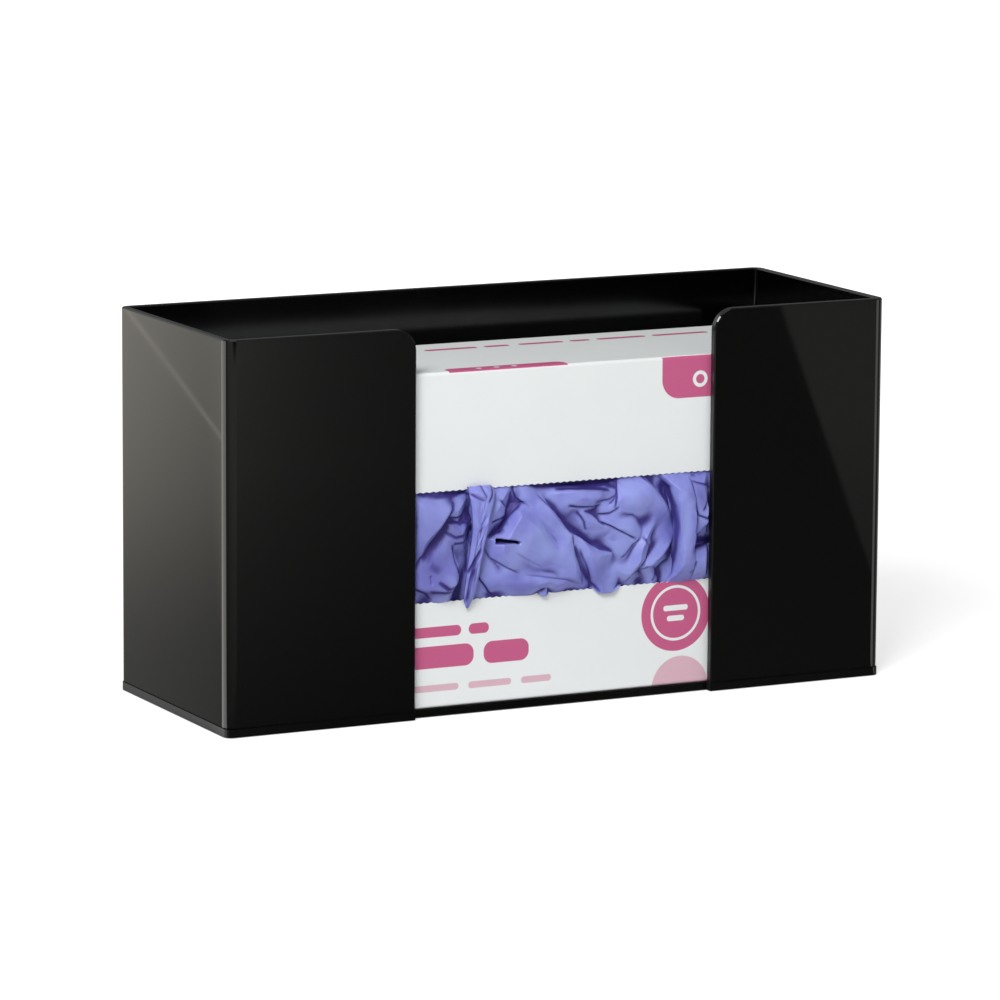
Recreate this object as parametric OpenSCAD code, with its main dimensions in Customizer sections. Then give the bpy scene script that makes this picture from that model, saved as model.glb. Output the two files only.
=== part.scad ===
// Disposable glove dispenser: an open-topped acrylic holder, bent from one sheet on a bottom plate,
// with a glove carton standing in it. Gloves are pulled through the carton's torn-out opening,
// which shows between the holder's two front flaps.
// +X runs along the width, +Y goes to the wall behind, +Z is up.
// The origin is the middle of the bottom plate's underside.

/* [Glove carton] */
// Length of the carton
carton_l = 238; // [205:1:300]
// Depth of the carton, front to back
carton_d = 63.5; // [45:0.5:110]
// Height of the carton
carton_h = 120.4; // [95:0.1:160]
// Thickness of the card
card_t = 0.5; // [0.4:0.1:1]
// Outside radius of the carton's long folds
fold_r = 1.2; // [1.1:0.1:3]
// Strip of the inner end flap that the outer one leaves bare
end_flap_reveal = 7; // [3:1:20]

/* [Room round the carton] */
// Gap between each end of the carton and the holder's side
end_gap = 9.5; // [1:0.5:20]
// Gap between the flaps' inner face and the carton's face
carton_gap = 0.3; // [0.2:0.1:2]
// Gap behind the carton, for the fingers that lift it out
finger_gap = 25.2; // [2:0.1:40]
// Rise of the holder's rim above the carton
rim_rise = 16.6; // [5:0.1:40]

/* [Holder sheet] */
// Thickness of the acrylic sheet
sheet_t = 3; // [2:0.5:5]
// Thickness of the bottom plate
plate_t = 3; // [2:0.5:6]
// Inside radius of the four heat bends
bend_r = 1; // [0.5:0.5:4]
// Corner radius of the bottom plate
plate_corner_r = 3; // [1:0.5:6]
// Chamfer along the cut edges of the bent sheet
edge_ease = 0.4; // [0.2:0.1:0.8]

/* [Front flaps] */
// Width of the open slot between the two flaps
slot_w = 119; // [80:1:150]
// How far the slot's middle lies to the right of the holder's middle
slot_shift = 1; // [-5:0.5:5]
// Radius of the rounded top corner at each flap's free edge
flap_corner_r = 8; // [3:1:20]

/* [Wall keyholes] */
// Distance between the two keyholes
keyhole_spacing = 152; // [80:1:200]
// Distance of the narrow ends below the holder's rim
keyhole_drop = 27; // [15:1:50]
// Radius of the entry hole for a screw's head
keyhole_entry_r = 4.5; // [3.5:0.5:6]
// Radius of the narrow end, round a screw's shank
keyhole_shank_r = 2.2; // [1.5:0.1:2.8]
// Rise from the entry hole to the narrow end
keyhole_rise = 9; // [7:0.5:14]

/* [Carton opening] */
// Distance from each end of the carton to the torn-out opening
opening_end = 26; // [15:1:50]
// Height of the torn-out opening
opening_h = 40.1; // [30:0.1:50]
// Height of the opening's middle above the carton's bottom
opening_z = 58; // [45:0.1:70]
// Distance between two teeth of the torn perforation
tooth_pitch = 2.6; // [2:0.1:5]
// Depth of a perforation tooth
tooth_depth = 0.4; // [0.3:0.1:1]

/* [Gloves] */
// Gap between the stacked gloves and the carton's ends and top
stack_gap = 2; // [1:0.5:5]
// Gap between the front of the stack and the carton's front wall
stack_front_gap = 4; // [3:0.5:30]
// Thickness of one bundle of flat gloves in the stack
bundle_t = 4.6; // [4.2:0.1:10]
// How far the bundles' edges step in and out
bundle_step = 1.2; // [0.5:0.1:3]
// Radius of a bundle's folded edges
bundle_edge_r = 1.8; // [0.4:0.1:2]
// Gap between the pulled gloves and the edge of the opening
pull_gap = 0.4; // [0.3:0.1:1]
// How far the pulled gloves bulge out of the carton's face
bulge_out = 6.5; // [4:0.5:10]
// How far the pulled gloves sink in below the opening's top edge
tuck_in = 3; // [1:0.5:6]
// Height of the pleats that fan out from a glove's pinched point
pleat_h = 1.9; // [0.5:0.1:3]
// How far the twisted cuff hangs below the opening's bottom edge
cuff_hang = 3.6; // [1:0.1:10]
// Width of the twisted cuff where it leaves the bunch
cuff_w = 13; // [8:0.5:20]
// Thickness of the twisted cuff where it leaves the bunch
cuff_t = 3; // [1:0.1:5]
// How far the cuff stands in front of the bunch
cuff_proud = 0.7; // [0:0.1:2]
// Distance from a flap's free edge at which the gloves start to bulge
flap_clear = 2.5; // [2:0.5:6]

/* [Hidden] */
$fn = 64;
eps = 0.01;

holder_w = carton_l + 2 * end_gap + 2 * sheet_t;
holder_d = carton_gap + carton_d + finger_gap + 2 * sheet_t;
holder_h = plate_t + carton_h + rim_rise;

opening_l = carton_l - 2 * opening_end;

bend_out_r = bend_r + sheet_t;
shell_h = holder_h - plate_t;
flat_w = holder_w - 2 * bend_out_r;
flat_d = holder_d - 2 * bend_out_r;
slot_left = slot_shift - slot_w / 2;
left_flap_w = holder_w / 2 + slot_left - bend_out_r;
right_flap_w = holder_w / 2 - slot_left - slot_w - bend_out_r;
front_y = -holder_d / 2;
back_y = holder_d / 2;
keyhole_z = holder_h - keyhole_drop - keyhole_rise;

carton_front_y = front_y + sheet_t + carton_gap;
carton_mid_y = carton_front_y + carton_d / 2;
end_wall_t = 3 * card_t;

opening_r = opening_h / 2;
opening_run = opening_l - opening_h;
opening_edge = 2 * opening_run + 2 * PI * opening_r;
teeth = round(opening_edge / tooth_pitch);
opening_mid_z = plate_t + opening_z;

stack_l = carton_l - 2 * end_wall_t - 2 * stack_gap;
stack_h = carton_h - 2 * card_t - stack_gap;
stack_floor_z = plate_t + card_t;
stack_d = carton_d - 2 * card_t - stack_front_gap;
stack_front_y = carton_front_y + card_t + stack_front_gap;
bundles = max(2, round(stack_d / bundle_t));
bundle_d = stack_d / bundles;

// --- holder ---

// The sheet's cross-section with its four eased corners: thickness along X, height along Y
module sheet_section(h) {
    polygon([
        [edge_ease, 0], [sheet_t - edge_ease, 0], [sheet_t, edge_ease],
        [sheet_t, h - edge_ease], [sheet_t - edge_ease, h], [edge_ease, h],
        [0, h - edge_ease], [0, edge_ease]
    ]);
}

// A straight run of the sheet along +X from the origin, its outer face at y = 0
module sheet_run(length) {
    rotate([90, 0, 90])
        linear_extrude(length)
            sheet_section(shell_h);
}

// A quarter turn of the sheet about the Z axis, from +X to +Y
module sheet_bend() {
    rotate_extrude(angle = 90)
        translate([bend_r, 0])
            sheet_section(shell_h);
}

// A flap w wide, seen from above: the two corners of its free end are eased
module flap_plan(w) {
    polygon([
        [0, 0], [w - edge_ease, 0], [w, edge_ease],
        [w, sheet_t - edge_ease], [w - edge_ease, sheet_t], [0, sheet_t]
    ]);
}

// The rounded top corner of a flap, turned about its own centre, edges eased like the rest
module flap_corner() {
    rotate([90, 0, 0])
        translate([0, 0, -sheet_t])
            rotate_extrude(angle = 90)
                polygon([
                    [0, 0], [flap_corner_r - edge_ease, 0], [flap_corner_r, edge_ease],
                    [flap_corner_r, sheet_t - edge_ease], [flap_corner_r - edge_ease, sheet_t],
                    [0, sheet_t]
                ]);
}

// One front flap, w wide from its bend to its free edge, along +X, its outer face at y = 0
module flap(w) {
    corner_x = w - flap_corner_r;
    corner_z = shell_h - flap_corner_r;
    difference() {
        intersection() {
            sheet_run(w);
            linear_extrude(shell_h)
                flap_plan(w);
        }
        translate([corner_x, -eps, corner_z])
            cube([flap_corner_r + eps, sheet_t + 2 * eps, flap_corner_r + eps]);
    }
    translate([corner_x, 0, corner_z])
        flap_corner();
}

// Bend, side wall and flap of the left half, standing on z = 0
module left_half(flap_w) {
    translate([-holder_w / 2 + bend_out_r, front_y, 0])
        flap(flap_w);
    translate([-holder_w / 2 + bend_out_r, front_y + bend_out_r, 0])
        rotate(180)
            sheet_bend();
    translate([-holder_w / 2, back_y - bend_out_r, 0])
        rotate(-90)
            sheet_run(flat_d);
    translate([-holder_w / 2 + bend_out_r, back_y - bend_out_r, 0])
        rotate(90)
            sheet_bend();
}

// A keyhole through the back wall: entry hole, slot and narrow end, along Y
module keyhole() {
    rotate([-90, 0, 0])
        translate([0, 0, -eps]) {
            cylinder(r = keyhole_entry_r, h = sheet_t + 2 * eps);
            translate([0, -keyhole_rise, 0])
                cylinder(r = keyhole_shank_r, h = sheet_t + 2 * eps);
            translate([-keyhole_shank_r, -keyhole_rise, 0])
                cube([2 * keyhole_shank_r, keyhole_rise, sheet_t + 2 * eps]);
        }
}

module folded_shell() {
    color([0.07, 0.07, 0.07])
        difference() {
            translate([0, 0, plate_t]) {
                left_half(left_flap_w);
                mirror([1, 0, 0])
                    left_half(right_flap_w);
                translate([flat_w / 2, back_y, 0])
                    rotate(180)
                        sheet_run(flat_w);
            }
            for (side = [-1, 1])
                translate([side * keyhole_spacing / 2, back_y - sheet_t, keyhole_z])
                    keyhole();
        }
}

// The bottom plate is flush with the shell all round and steps back by one sheet in the slot.
module bottom_plate() {
    core_w = holder_w - 2 * plate_corner_r;
    core_d = holder_d - 2 * plate_corner_r;
    color([0.09, 0.09, 0.09])
        linear_extrude(plate_t)
            difference() {
                union() {
                    square([holder_w, core_d], center = true);
                    square([core_w, holder_d], center = true);
                    for (x = [-1, 1], y = [-1, 1])
                        translate([x * core_w / 2, y * core_d / 2])
                            circle(r = plate_corner_r);
                }
                translate([slot_left, front_y - eps])
                    square([slot_w, sheet_t + eps]);
            }
}

// --- carton ---

// A rectangle with rounded corners, w along X and h along Y, centred
module round_rect(w, h, r) {
    square([w - 2 * r, h], center = true);
    square([w, h - 2 * r], center = true);
    for (x = [-1, 1], y = [-1, 1])
        translate([x * (w / 2 - r), y * (h / 2 - r)])
            circle(r = r);
}

// A round-cornered tube blank along X, centred, d deep and h high
module tube_blank(l, d, h, r) {
    rotate([90, 0, 90])
        translate([0, 0, -l / 2])
            linear_extrude(l)
                round_rect(d, h, r);
}

// Point and outward direction at the distance s along the edge of the oblong opening
function edge_turn(s) =
    s < opening_run ? 0 :
    s < opening_run + PI * opening_r ? (s - opening_run) / opening_r * 180 / PI :
    s < 2 * opening_run + PI * opening_r ? 180 :
    180 + (s - 2 * opening_run - PI * opening_r) / opening_r * 180 / PI;
function edge_slide(s) =
    s < opening_run ? s - opening_run / 2 :
    s < opening_run + PI * opening_r ? opening_run / 2 :
    s < 2 * opening_run + PI * opening_r ? 1.5 * opening_run + PI * opening_r - s :
    -opening_run / 2;
function edge_point(s, inset) =
    let (a = edge_turn(s) - 90, r = opening_r - inset)
        [edge_slide(s) + r * cos(a), r * sin(a)];

// The opening's torn edge: a tooth of card stands in at every second point
module torn_outline() {
    polygon([
        for (i = [0:2 * teeth - 1])
            edge_point(i * opening_edge / (2 * teeth), i % 2 == 0 ? 0 : tooth_depth)
    ]);
}

module carton() {
    inner_l = carton_l - 2 * end_wall_t;
    color([0.93, 0.94, 0.94])
        difference() {
            translate([0, carton_mid_y, plate_t + carton_h / 2])
                difference() {
                    tube_blank(carton_l, carton_d, carton_h, fold_r);
                    tube_blank(inner_l, carton_d - 2 * card_t, carton_h - 2 * card_t,
                               fold_r - card_t);
                    // the outer end flap stops short of the top fold and shows the inner one
                    for (side = [-1, 1])
                        translate([side * carton_l / 2, 0, (carton_h - end_flap_reveal) / 2])
                            cube([2 * card_t, carton_d - 2 * card_t, end_flap_reveal - 2 * card_t],
                                 center = true);
                }
            translate([0, carton_front_y + card_t + eps, opening_mid_z])
                rotate([90, 0, 0])
                    linear_extrude(card_t + 2 * eps)
                        torn_outline();
        }
}

// --- gloves ---

// The stack: bundles of flat gloves one behind the other, each rounded at its folded edges and
// not quite in line with the next. They are pressed together, so one core runs through them all.
module glove_stack() {
    core_h = stack_h - bundle_step - 2 * bundle_edge_r;
    color([0.45, 0.42, 0.74]) {
        translate([0, stack_front_y + stack_d / 2, stack_floor_z + bundle_edge_r + core_h / 2])
            cube([stack_l - 4 * bundle_step, stack_d - 2 * bundle_edge_r, core_h], center = true);
        for (i = [0:bundles - 1]) {
            step_x = bundle_step * abs(sin(97 * i));
            step_z = bundle_step * abs(cos(61 * i));
            length = stack_l - 2 * step_x;
            height = stack_h - step_z;
            translate([0, stack_front_y + (i + 0.5) * bundle_d, stack_floor_z + height / 2])
                tube_blank(length, bundle_d, height, bundle_edge_r);
        }
    }
}

// Each pulled glove fills the opening from one seam to the next.
// Seams between the gloves: share of the opening's length, and slant as a share of its height
seams = [[0.02, 0], [0.30, -0.15], [0.41, 0.12], [0.70, -0.2], [0.98, 0]];
// Pinched point of each glove, as shares of its own width and height, and its number of pleats
pinches = [[0.85, 1.15, 5], [0.40, 1.15, 4], [0.35, -0.20, 6], [0.55, 1.20, 5]];
grid_u = 26;
grid_v = 14;

// A fold line: a sharp crest at every whole number, with a smooth hollow between
function crest(a) = 1 - 2 * abs(sin(180 * a));
function clamp01(a) = min(1, max(0, a));
function half_height(x) =
    let (over = max(0, abs(x) - opening_run / 2), r = opening_r - pull_gap - tooth_depth)
        sqrt(r * r - over * over);
function seam_x(k, v) =
    (seams[k][0] - 0.5) * (opening_l - 2 * pull_gap) + seams[k][1] * opening_h * (v - 0.5);
function side_gap(k) = k == 0 || k == len(seams) - 1 ? 0 : pull_gap / 2;
function glove_x(i, u, v) =
    let (x0 = seam_x(i, v) + side_gap(i), x1 = seam_x(i + 1, v) - side_gap(i + 1))
        x0 + u * (x1 - x0);

// How far a glove may stand out at x: it bulges in the slot and stays behind the flaps' inner face
function room(x) =
    let (inside = slot_w / 2 - flap_clear - abs(x - slot_shift))
        bulge_out * sqrt(clamp01(inside / (1.5 * bulge_out)));

// How far glove i stands out of the carton's face at (u, v)
function glove_out(i, u, v) =
    let (
        p = pinches[i],
        away = norm([1.6 * (u - p[0]), v - p[1]]),
        fan = atan2(v - p[1], 1.6 * (u - p[0])) / 180,
        pleat = pleat_h * min(1, 1.3 * away) * crest(p[2] * fan + 0.3 * i),
        crease = 0.4 * pleat_h * crest(1.6 * u + 1.1 * v + 0.37 * i),
        belly = bulge_out * sin(180 * (0.12 + 0.88 * pow(v, 0.62))),
        side = 0.45 + 0.55 * sqrt(sin(180 * (0.02 + 0.96 * u)))
    )
        belly * side - tuck_in * v * v + (pleat + crease) * (1 - 0.5 * v);

function glove_point(i, a, b, front) =
    let (
        u = a / grid_u,
        v = b / grid_v,
        x = glove_x(i, u, v),
        z = (2 * v - 1) * half_height(x),
        out = min(room(x), glove_out(i, u, v))
    )
        [x, front ? carton_front_y - out : stack_front_y - pull_gap, opening_mid_z + z];

// A closed solid from two grids of points, front and back, with the rim stitched
module grid_solid(front, back, nu, nv) {
    n = (nu + 1) * (nv + 1);
    row = nu + 1;
    rim = concat(
        [for (a = [0:nu]) a],
        [for (b = [1:nv]) b * row + nu],
        [for (a = [nu - 1:-1:0]) nv * row + a],
        [for (b = [nv - 1:-1:1]) b * row]
    );
    quads = [for (b = [0:nv - 1], a = [0:nu - 1]) b * row + a];
    polyhedron(
        points = concat(front, back),
        faces = concat(
            [for (q = quads) [q, q + row, q + 1]],
            [for (q = quads) [q + 1, q + row, q + row + 1]],
            [for (q = quads) [n + q, n + q + 1, n + q + row]],
            [for (q = quads) [n + q + 1, n + q + row + 1, n + q + row]],
            [for (k = [0:len(rim) - 1]) [rim[k], rim[(k + 1) % len(rim)], n + rim[k]]],
            [for (k = [0:len(rim) - 1])
                [rim[(k + 1) % len(rim)], n + rim[(k + 1) % len(rim)], n + rim[k]]]
        ),
        convexity = 6
    );
}

module glove_bunch(i) {
    grid_solid(
        [for (b = [0:grid_v], a = [0:grid_u]) glove_point(i, a, b, true)],
        [for (b = [0:grid_v], a = [0:grid_u]) glove_point(i, a, b, false)],
        grid_u, grid_v
    );
}

// The cuff of the second glove hangs out of the bunch as a twisted strip that narrows to a tip.
// In the opening its back is sunk into the bunch, and below the opening it lies along the card.
cuff_rings = 16;
cuff_sides = 12;
cuff_top_share = 0.72;
cuff_place_share = 0.345;
function cuff_back(z) =
    let (above = z - opening_mid_z + opening_r - 2 * pull_gap - tooth_depth)
        pull_gap - (tuck_in + pull_gap) * clamp01(above / opening_r * 3);
function cuff_point(k, j) =
    let (
        t = k / cuff_rings,
        a = 360 * j / cuff_sides,
        z = opening_mid_z + cuff_top_share * opening_r
            - t * ((1 + cuff_top_share) * opening_r + cuff_hang),
        half_w = cuff_w / 2 * (1 - 0.86 * pow(t, 1.3)),
        twist = 0.35 * half_w * sin(300 * t) * cos(a),
        back = cuff_back(z),
        rise = sqrt(clamp01(0.02 + 6 * t)),
        crown = back + rise * (bulge_out + cuff_proud - back - 0.8 * cuff_t * pow(t, 3)
                               - 0.3 * bulge_out * t),
        side = back + 0.6 * (crown - back),
        out = sin(a) > 0 ? side + (crown - side) * sin(a) : side + (side - back) * sin(a),
        x = (cuff_place_share - 0.5) * opening_l - 0.25 * cuff_w * sin(120 * t) - half_w * cos(a)
    )
        [x, carton_front_y - max(back, out + twist * clamp01((out - back) / cuff_t)), z];
module hanging_cuff() {
    polyhedron(
        points = [for (k = [0:cuff_rings], j = [0:cuff_sides - 1]) cuff_point(k, j)],
        faces = concat(
            [[for (j = [cuff_sides - 1:-1:0]) j]],
            [[for (j = [0:cuff_sides - 1]) cuff_rings * cuff_sides + j]],
            [for (k = [0:cuff_rings - 1], j = [0:cuff_sides - 1])
                [k * cuff_sides + j, k * cuff_sides + (j + 1) % cuff_sides, (k + 1) * cuff_sides + j]],
            [for (k = [0:cuff_rings - 1], j = [0:cuff_sides - 1])
                [k * cuff_sides + (j + 1) % cuff_sides, (k + 1) * cuff_sides + (j + 1) % cuff_sides,
                 (k + 1) * cuff_sides + j]]
        ),
        convexity = 4
    );
}

module pulled_glove(i) {
    color([0.47, 0.45, 0.80])
        union() {
            glove_bunch(i);
            if (i == 1)
                hanging_cuff();
        }
}

bottom_plate();
folded_shell();
carton();
glove_stack();
pulled_glove(0);  // pulled_glove_1
pulled_glove(1);  // pulled_glove_2
pulled_glove(2);  // pulled_glove_3
pulled_glove(3);  // pulled_glove_4
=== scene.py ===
import math

import bmesh
import bpy
import numpy as np
from mathutils import Matrix, Vector


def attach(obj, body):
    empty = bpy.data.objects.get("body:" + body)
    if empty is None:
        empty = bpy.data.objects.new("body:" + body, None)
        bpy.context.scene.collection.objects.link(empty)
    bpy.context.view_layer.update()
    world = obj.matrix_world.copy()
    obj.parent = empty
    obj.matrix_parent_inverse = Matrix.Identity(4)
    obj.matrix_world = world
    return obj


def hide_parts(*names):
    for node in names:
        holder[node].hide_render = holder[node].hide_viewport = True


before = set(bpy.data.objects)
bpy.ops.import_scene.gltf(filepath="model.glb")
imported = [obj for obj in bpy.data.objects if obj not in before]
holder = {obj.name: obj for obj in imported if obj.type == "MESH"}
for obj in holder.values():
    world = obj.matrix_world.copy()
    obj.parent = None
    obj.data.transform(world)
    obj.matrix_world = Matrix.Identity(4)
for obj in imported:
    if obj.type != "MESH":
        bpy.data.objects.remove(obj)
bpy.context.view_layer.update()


class Wire:  # one output socket, so that shader maths reads as sums
    def __init__(self, finish, socket):
        self.finish = finish
        self.socket = socket

    def math(self, operation, *others):
        return self.finish.math(operation, self, *others)

    def __add__(self, other):
        return self.math("ADD", other)

    __radd__ = __add__

    def __sub__(self, other):
        return self.math("SUBTRACT", other)

    def __rsub__(self, other):
        return self.finish.math("SUBTRACT", other, self)

    def __mul__(self, other):
        return self.math("MULTIPLY", other)

    __rmul__ = __mul__

    def __truediv__(self, other):
        return self.math("DIVIDE", other)

    def __pow__(self, other):
        return self.math("POWER", other)

    def __lt__(self, other):
        return self.math("LESS_THAN", other)

    def __gt__(self, other):
        return self.math("GREATER_THAN", other)

    def __abs__(self):
        return self.math("ABSOLUTE")

    def low(self, other):
        return self.math("MINIMUM", other)

    def high(self, other):
        return self.math("MAXIMUM", other)


class Finish:  # the node tree of a material or of the world
    def __init__(self, owner):
        owner.use_nodes = True
        self.owner = owner
        self.tree = owner.node_tree
        self.tree.nodes.clear()

    def make(self, kind, settings=None, sockets=None, out=0):
        node = self.tree.nodes.new("ShaderNode" + kind)
        for name, value in (settings or {}).items():
            setattr(node, name, value)
        for name, value in (sockets or {}).items():
            if isinstance(value, Wire):
                self.tree.links.new(value.socket, node.inputs[name])
            else:
                node.inputs[name].default_value = value
        return Wire(self, node.outputs[out])

    def math(self, operation, *values):
        return self.make("Math", {"operation": operation}, dict(enumerate(values)))

    def angle(self, up, across):  # degrees
        return self.math("ARCTAN2", up, across) * (180 / math.pi)

    def step(self, value, start, end):  # 0 at start, 1 at end, smooth between
        return self.make("MapRange", {"interpolation_type": "SMOOTHSTEP"},
                         {"Value": value, "From Min": start, "From Max": end})

    def window(self, value, rise, fall):
        return self.step(value, *rise) * (1 - self.step(value, *fall))

    def blend(self, factor, first, second):
        return self.make("Mix", {"data_type": "RGBA"}, {0: factor, 6: first, 7: second}, 2)

    def noise(self, place, scale, detail, rough, stretch=None):
        if stretch:
            place = self.vector("MULTIPLY", place, stretch)
        return self.make("TexNoise", None, {"Vector": place, "Scale": scale, "Detail": detail,
                                            "Roughness": rough})

    def vector(self, operation, *values):
        return self.make("VectorMath", {"operation": operation}, dict(enumerate(values)))

    def place(self):
        return self.make("TexCoord", None, None, "Object")

    def parts(self, wire, names):  # more outputs of the node behind a wire
        return [Wire(self, wire.socket.node.outputs[name]) for name in names]

    def split(self, vector):
        return self.parts(self.make("SeparateXYZ", None, {0: vector}), range(3))

    def facing(self):
        return self.split(self.make("TexCoord", None, None, "Normal"))

    def rays(self):
        return self.parts(self.make("LightPath"), ("Is Camera Ray", "Is Glossy Ray"))

    def bump(self, height, distance, strength, under=None):
        sockets = {"Height": height, "Distance": distance, "Strength": strength}
        if under:
            sockets["Normal"] = under
        return self.make("Bump", None, sockets)

    def done(self, shader, kind="OutputMaterial"):
        node = self.tree.nodes.new("ShaderNode" + kind)
        self.tree.links.new(shader.socket, node.inputs["Surface"])
        return self.owner


def newFinish(name):
    return Finish(bpy.data.materials.new(name))


def coat(piece, material):
    piece.data.materials.clear()
    piece.data.materials.append(material)


def intoScene(name, data):
    thing = bpy.data.objects.new(name, data)
    bpy.context.scene.collection.objects.link(thing)
    return thing


# stage
studio = {
    "camera": (-0.9282, -1.8370, 0.4273),
    "yaw": 26.767, "pitch": 9.920, "roll": 0.3725,  # degrees
    "lens": 206.86, "sensor": 36, "nearest": 0.05, "farthest": 60,
    "floorDrop": 0.0003, "floorSize": 12.0,
    "floorColour": (0.80, 0.80, 0.80, 1), "floorGlow": 0.64, "fullGlow": (0.12, 0.7),
    "hallColour": (0.97, 0.985, 1, 1), "hallDiffuse": 0.20, "hallGlossy": 0.16, "hallPale": 0.9,
    "paleFrom": (92, 104), "paleTop": (0.5, 0.8),  # the hall's pale wall, degrees from +X and rise
    "lampsAim": (0, 0, 0.06),
}
print("stage: camera, floor, lamps")
yaw, pitch, roll = (math.radians(studio[k]) for k in ("yaw", "pitch", "roll"))
forwards = Vector((math.sin(yaw) * math.cos(pitch), math.cos(yaw) * math.cos(pitch),
                   -math.sin(pitch)))
sideways = Vector((math.cos(yaw), -math.sin(yaw), 0))
upright = sideways.cross(forwards)
rolledSide = math.cos(roll) * sideways + math.sin(roll) * upright
rolledUp = math.cos(roll) * upright - math.sin(roll) * sideways
viewer = intoScene("viewer", bpy.data.cameras.new("viewer"))
viewer.matrix_world = Matrix.Translation(studio["camera"]) \
    @ Matrix((rolledSide, rolledUp, -forwards)).transposed().to_4x4()
viewer.data.lens = studio["lens"]
viewer.data.sensor_width = studio["sensor"]
viewer.data.clip_start = studio["nearest"]
viewer.data.clip_end = studio["farthest"]
bpy.context.scene.camera = viewer
bpy.context.scene.view_settings.view_transform = "Standard"

# the floor's painted reflection, a glowing pattern that only the polished sheet sees: metres, and
# degrees round the front corners
mirror = {
    "corner": (0.1315, 0.0475),
    # ahead: a painted reflection of a sweep that darkens towards the holder, and of a pale board
    # with a straight edge
    "slant": 0.504, "sweepReach": 0.52, "sweepNear": 0.28,
    "fadeFrom": -0.2, "fadeOver": 0.06, "fadeGain": 0.4, "fadeLeast": 0.05,
    "boardEdge": (0.1175, 0.1205), "boardNear": 0.10, "boardGain": 0.21,
    "lift": 0.05, "liftEdge": (-0.03, 0.03), "farEdge": (-0.85, -0.95), "farLoss": 0.9,
    "glint": 1.2, "glintFrom": (-58, -54), "glintTo": (-34, -30),
    # to the left and round the back: a painted reflection, paler away from the holder, with a thin
    # bright seam
    "pale": 0.265, "paleGain": 0.345, "paleReach": 0.33,
    "acrossSlope": 1.985, "acrossFrom": -0.06, "acrossTo": 0.2, "acrossGain": 5,
    "leftFrom": (-100, -88), "leftTo": (-42, -36),
    "behindFrom": (-122, -116), "behindTo": (-96, -90),
    "seamAt": (-0.517, 0.946), "seamSlope": 0.3083, "seamEdge": (0.0005, 0.0016), "seamGlow": 0.45,
    # a painted highlight: a hot spot on the floor that glows like a lamp in the sheet's bends
    "hot": 2.6, "hotFrom": (-67, -62), "aheadFrom": (-2, 4),
    "tint": (1.0, 0.985, 0.95, 1), "warmTint": (1.02, 0.972, 0.87, 1), "warmReach": (0.03, 0.3),
}


def floorFinish():
    f = newFinish("paperSweepPaintedReflection")
    m = mirror
    # glossy rays see a painted reflection glowing on the floor, with a painted glint, seam and hot
    # spot; other rays see the pale floor
    x, y = f.split(f.place())[:2]
    cornerX, cornerY = m["corner"]
    left = x + cornerX
    front = y + cornerY
    turn = f.angle(front * -1, left * -1)  # 0 points left, 90 forwards

    slant = x + y * m["slant"]
    rise = (front * -1 / m["sweepReach"]).high(0).low(1)
    rise = rise * (1 - m["sweepNear"]) + m["sweepNear"]
    fade = f.math("EXPONENT", ((slant - m["fadeFrom"]) / -m["fadeOver"]).low(0))
    fade = fade * m["fadeGain"] + m["fadeLeast"]
    board = f.step(slant, *m["boardEdge"])
    ahead = rise * fade * (1 - board) + board * (m["boardNear"] + m["boardGain"] * rise)
    lift = (1 - rise) / (1 - m["sweepNear"]) * m["lift"] * f.step(slant, *m["liftEdge"])
    ahead = ahead + lift * (1 - board)
    ahead = ahead * (1 - m["farLoss"] * f.step(front, *m["farEdge"]))
    swing = f.angle(front, x - cornerX)  # round the front right corner
    ahead = ahead + m["glint"] * f.window(swing, m["glintFrom"], m["glintTo"])

    reach = (abs(x) - cornerX).high(abs(y) - cornerY).high(0)
    pale = m["paleGain"] * (1 - f.math("EXPONENT", (reach / m["paleReach"]) ** 2 * -1)) + m["pale"]
    across = (y + left * m["acrossSlope"]).high(m["acrossFrom"]).low(m["acrossTo"])
    toLeft = f.window(turn, m["leftFrom"], m["leftTo"])
    behind = f.window(turn, m["behindFrom"], m["behindTo"])
    seamX, seamY = m["seamAt"]
    seam = 1 - f.step(abs(x - seamX + (y - seamY) * m["seamSlope"]), *m["seamEdge"])
    pale = pale * (1 + across * m["acrossGain"] * toLeft) + toLeft * m["seamGlow"] * seam
    hot = f.window(turn, m["hotFrom"], m["aheadFrom"])
    onward = f.step(turn, *m["aheadFrom"])
    glow = pale + (ahead - pale) * onward + (m["hot"] - pale) * hot + behind
    tint = f.blend(f.step(reach, *m["warmReach"]) * toLeft, m["tint"], m["warmTint"])
    mirrored = f.make("Emission", None, {"Color": tint, "Strength": glow})

    paper = f.make("BsdfDiffuse", None, {"Color": studio["floorColour"]})
    glowing = studio["floorGlow"] + (1 - studio["floorGlow"]) * f.step(reach, *studio["fullGlow"])
    white = f.make("Emission", None, {"Color": (1, 1, 1, 1), "Strength": glowing})
    seen = f.make("AddShader", None, {0: paper, 1: white})
    isCamera, isGlossy = f.rays()
    plain = f.make("MixShader", None, {0: isCamera, 1: paper, 2: seen})
    return f.done(f.make("MixShader", None, {0: isGlossy, 1: plain, 2: mirrored}))


bm = bmesh.new()
bmesh.ops.create_grid(bm, x_segments=4, y_segments=4, size=studio["floorSize"] / 2,
                      matrix=Matrix.Translation((0, 0, -studio["floorDrop"])))
sweep = intoScene("sweep", bpy.data.meshes.new("sweep"))
bm.to_mesh(sweep.data)
bm.free()
coat(sweep, floorFinish())


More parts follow.
